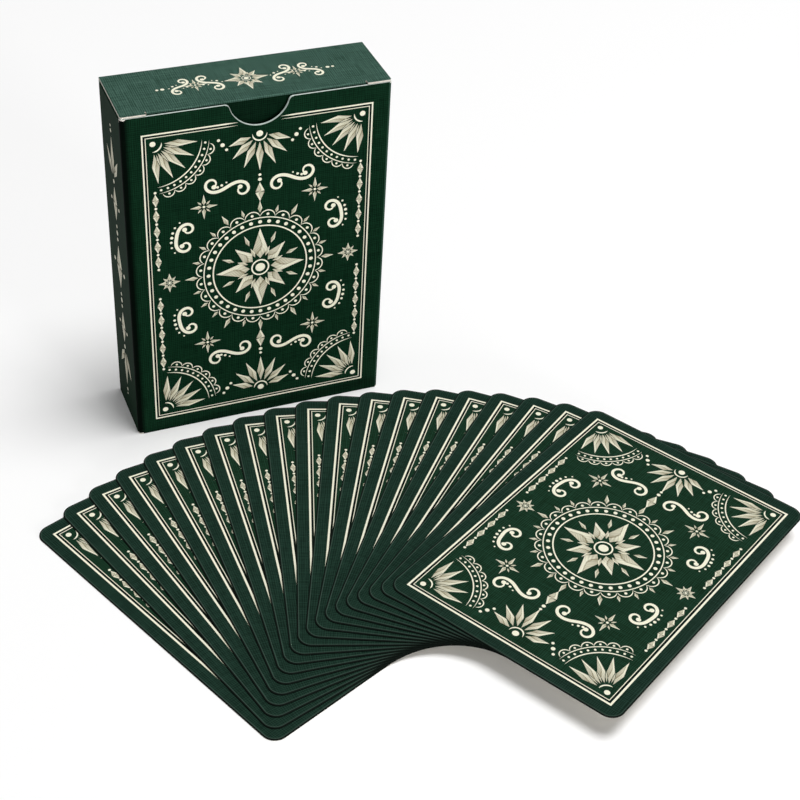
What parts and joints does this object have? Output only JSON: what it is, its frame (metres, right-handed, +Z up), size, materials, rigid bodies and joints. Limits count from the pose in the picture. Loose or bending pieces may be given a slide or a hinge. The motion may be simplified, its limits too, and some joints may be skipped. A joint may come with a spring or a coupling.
{
  "type": "deck of playing cards",
  "caption": "Deck of playing cards: a fan of cards lying backs up in front of their upright tuck case, whose lid opens on the back crease, with the rest of the cards inside.",
  "frame": {"origin": "centre of the case's underside, on the table", "axes": "+X along the case's width to the right, +Y towards the case's back, away from the fan, +Z up"},
  "size_m": [0.1795, 0.1536, 0.094],
  "materials": {
    "printed_board": "printed, linen embossed, satin",
    "bare_board": "uncoated board",
    "card_stock": "linen embossed, satin varnish"
  },
  "bodies": {
    "case": {"case_sleeve": "printed_board", "bottom_panel": "bare_board", "bottom_dust_flap_left": "bare_board", "bottom_dust_flap_right": "bare_board", "boxed_card_01": "card_stock", "boxed_card_02": "card_stock", "boxed_card_03": "card_stock", "boxed_card_04": "card_stock", "boxed_card_05": "card_stock", "boxed_card_06": "card_stock", "boxed_card_07": "card_stock", "boxed_card_08": "card_stock", "boxed_card_09": "card_stock", "boxed_card_10": "card_stock", "boxed_card_11": "card_stock", "boxed_card_12": "card_stock", "boxed_card_13": "card_stock", "boxed_card_14": "card_stock", "boxed_card_15": "card_stock", "boxed_card_16": "card_stock", "boxed_card_17": "card_stock", "boxed_card_18": "card_stock", "boxed_card_19": "card_stock", "boxed_card_20": "card_stock", "boxed_card_21": "card_stock", "boxed_card_22": "card_stock", "boxed_card_23": "card_stock", "boxed_card_24": "card_stock", "boxed_card_25": "card_stock", "boxed_card_26": "card_stock", "boxed_card_27": "card_stock", "boxed_card_28": "card_stock", "boxed_card_29": "card_stock", "boxed_card_30": "card_stock", "boxed_card_31": "card_stock", "boxed_card_32": "card_stock", "boxed_card_33": "card_stock", "fan_card_01": "card_stock"},
    "lid": {"lid_panel": "printed_board"},
    "tuck_tab": {"tuck_tab": "printed_board"},
    "dust_flap_left": {"dust_flap_left": "bare_board"},
    "dust_flap_right": {"dust_flap_right": "bare_board"},
    "fan_card_02": {"fan_card_02": "card_stock"},
    "fan_card_03": {"fan_card_03": "card_stock"},
    "fan_card_04": {"fan_card_04": "card_stock"},
    "fan_card_05": {"fan_card_05": "card_stock"},
    "fan_card_06": {"fan_card_06": "card_stock"},
    "fan_card_07": {"fan_card_07": "card_stock"},
    "fan_card_08": {"fan_card_08": "card_stock"},
    "fan_card_09": {"fan_card_09": "card_stock"},
    "fan_card_10": {"fan_card_10": "card_stock"},
    "fan_card_11": {"fan_card_11": "card_stock"},
    "fan_card_12": {"fan_card_12": "card_stock"},
    "fan_card_13": {"fan_card_13": "card_stock"},
    "fan_card_14": {"fan_card_14": "card_stock"},
    "fan_card_15": {"fan_card_15": "card_stock"},
    "fan_card_16": {"fan_card_16": "card_stock"},
    "fan_card_17": {"fan_card_17": "card_stock"},
    "fan_card_18": {"fan_card_18": "card_stock"},
    "fan_card_19": {"fan_card_19": "card_stock"}
  },
  "joints": [
    {"name": "lid_hinge", "type": "hinge", "parent": "case", "child": "lid", "pos_m": [0, 0.0105, 0.09355], "axis": [-1, 0, 0], "range_deg": [0, 110]},
    {"name": "tuck_tab_fold", "type": "hinge", "parent": "lid", "child": "tuck_tab", "pos_m": [0, -0.0092, 0.09355], "axis": [-1, 0, 0], "range_deg": [-55, 0]},
    {"name": "left_dust_flap_fold", "type": "hinge", "parent": "case", "child": "dust_flap_left", "pos_m": [-0.0335, 0, 0.093], "axis": [0, -1, 0], "range_deg": [0, 27.5]},
    {"name": "right_dust_flap_fold", "type": "hinge", "parent": "case", "child": "dust_flap_right", "pos_m": [0.0335, 0, 0.093], "axis": [0, 1, 0], "range_deg": [0, 27.5]},
    {"name": "fan_close_02", "type": "hinge", "parent": "case", "child": "fan_card_02", "pos_m": [0.0045, -0.12704, 0], "axis": [0, 0, 1], "range_deg": [0, 4.61]},
    {"name": "fan_close_03", "type": "hinge", "parent": "case", "child": "fan_card_03", "pos_m": [0.0045, -0.12704, 0], "axis": [0, 0, 1], "range_deg": [0, 9.21]},
    {"name": "fan_close_04", "type": "hinge", "parent": "case", "child": "fan_card_04", "pos_m": [0.0045, -0.12704, 0], "axis": [0, 0, 1], "range_deg": [0, 13.81]},
    {"name": "fan_close_05", "type": "hinge", "parent": "case", "child": "fan_card_05", "pos_m": [0.0045, -0.12704, 0], "axis": [0, 0, 1], "range_deg": [0, 18.41]},
    {"name": "fan_close_06", "type": "hinge", "parent": "case", "child": "fan_card_06", "pos_m": [0.0045, -0.12704, 0], "axis": [0, 0, 1], "range_deg": [0, 23.01]},
    {"name": "fan_close_07", "type": "hinge", "parent": "case", "child": "fan_card_07", "pos_m": [0.0045, -0.12704, 0], "axis": [0, 0, 1], "range_deg": [0, 27.61]},
    {"name": "fan_close_08", "type": "hinge", "parent": "case", "child": "fan_card_08", "pos_m": [0.0045, -0.12704, 0], "axis": [0, 0, 1], "range_deg": [0, 32.21]},
    {"name": "fan_close_09", "type": "hinge", "parent": "case", "child": "fan_card_09", "pos_m": [0.0045, -0.12704, 0], "axis": [0, 0, 1], "range_deg": [0, 36.81]},
    {"name": "fan_close_10", "type": "hinge", "parent": "case", "child": "fan_card_10", "pos_m": [0.0045, -0.12704, 0], "axis": [0, 0, 1], "range_deg": [0, 41.41]},
    {"name": "fan_close_11", "type": "hinge", "parent": "case", "child": "fan_card_11", "pos_m": [0.0045, -0.12704, 0], "axis": [0, 0, 1], "range_deg": [0, 46.01]},
    {"name": "fan_close_12", "type": "hinge", "parent": "case", "child": "fan_card_12", "pos_m": [0.0045, -0.12704, 0], "axis": [0, 0, 1], "range_deg": [0, 50.61]},
    {"name": "fan_close_13", "type": "hinge", "parent": "case", "child": "fan_card_13", "pos_m": [0.0045, -0.12704, 0], "axis": [0, 0, 1], "range_deg": [0, 55.21]},
    {"name": "fan_close_14", "type": "hinge", "parent": "case", "child": "fan_card_14", "pos_m": [0.0045, -0.12704, 0], "axis": [0, 0, 1], "range_deg": [0, 59.81]},
    {"name": "fan_close_15", "type": "hinge", "parent": "case", "child": "fan_card_15", "pos_m": [0.0045, -0.12704, 0], "axis": [0, 0, 1], "range_deg": [0, 64.41]},
    {"name": "fan_close_16", "type": "hinge", "parent": "case", "child": "fan_card_16", "pos_m": [0.0045, -0.12704, 0], "axis": [0, 0, 1], "range_deg": [0, 69.01]},
    {"name": "fan_close_17", "type": "hinge", "parent": "case", "child": "fan_card_17", "pos_m": [0.0045, -0.12704, 0], "axis": [0, 0, 1], "range_deg": [0, 73.61]},
    {"name": "fan_close_18", "type": "hinge", "parent": "case", "child": "fan_card_18", "pos_m": [0.0045, -0.12704, 0], "axis": [0, 0, 1], "range_deg": [0, 78.21]},
    {"name": "fan_close", "type": "hinge", "parent": "case", "child": "fan_card_19", "pos_m": [0.0045, -0.12704, 0], "axis": [0, 0, 1], "range_deg": [0, 82.8]}
  ],
  "couplings": [
    {"joint": "tuck_tab_fold", "follows": "lid_hinge", "ratio": -0.5},
    {"joint": "left_dust_flap_fold", "follows": "lid_hinge", "ratio": 0.25},
    {"joint": "right_dust_flap_fold", "follows": "lid_hinge", "ratio": 0.25},
    {"joint": "fan_close_02", "follows": "fan_close", "ratio": 0.055556},
    {"joint": "fan_close_03", "follows": "fan_close", "ratio": 0.11111},
    {"joint": "fan_close_04", "follows": "fan_close", "ratio": 0.16667},
    {"joint": "fan_close_05", "follows": "fan_close", "ratio": 0.22222},
    {"joint": "fan_close_06", "follows": "fan_close", "ratio": 0.27778},
    {"joint": "fan_close_07", "follows": "fan_close", "ratio": 0.33333},
    {"joint": "fan_close_08", "follows": "fan_close", "ratio": 0.38889},
    {"joint": "fan_close_09", "follows": "fan_close", "ratio": 0.44444},
    {"joint": "fan_close_10", "follows": "fan_close", "ratio": 0.5},
    {"joint": "fan_close_11", "follows": "fan_close", "ratio": 0.55556},
    {"joint": "fan_close_12", "follows": "fan_close", "ratio": 0.61111},
    {"joint": "fan_close_13", "follows": "fan_close", "ratio": 0.66667},
    {"joint": "fan_close_14", "follows": "fan_close", "ratio": 0.72222},
    {"joint": "fan_close_15", "follows": "fan_close", "ratio": 0.77778},
    {"joint": "fan_close_16", "follows": "fan_close", "ratio": 0.83333},
    {"joint": "fan_close_17", "follows": "fan_close", "ratio": 0.88889},
    {"joint": "fan_close_18", "follows": "fan_close", "ratio": 0.94444}
  ]
}
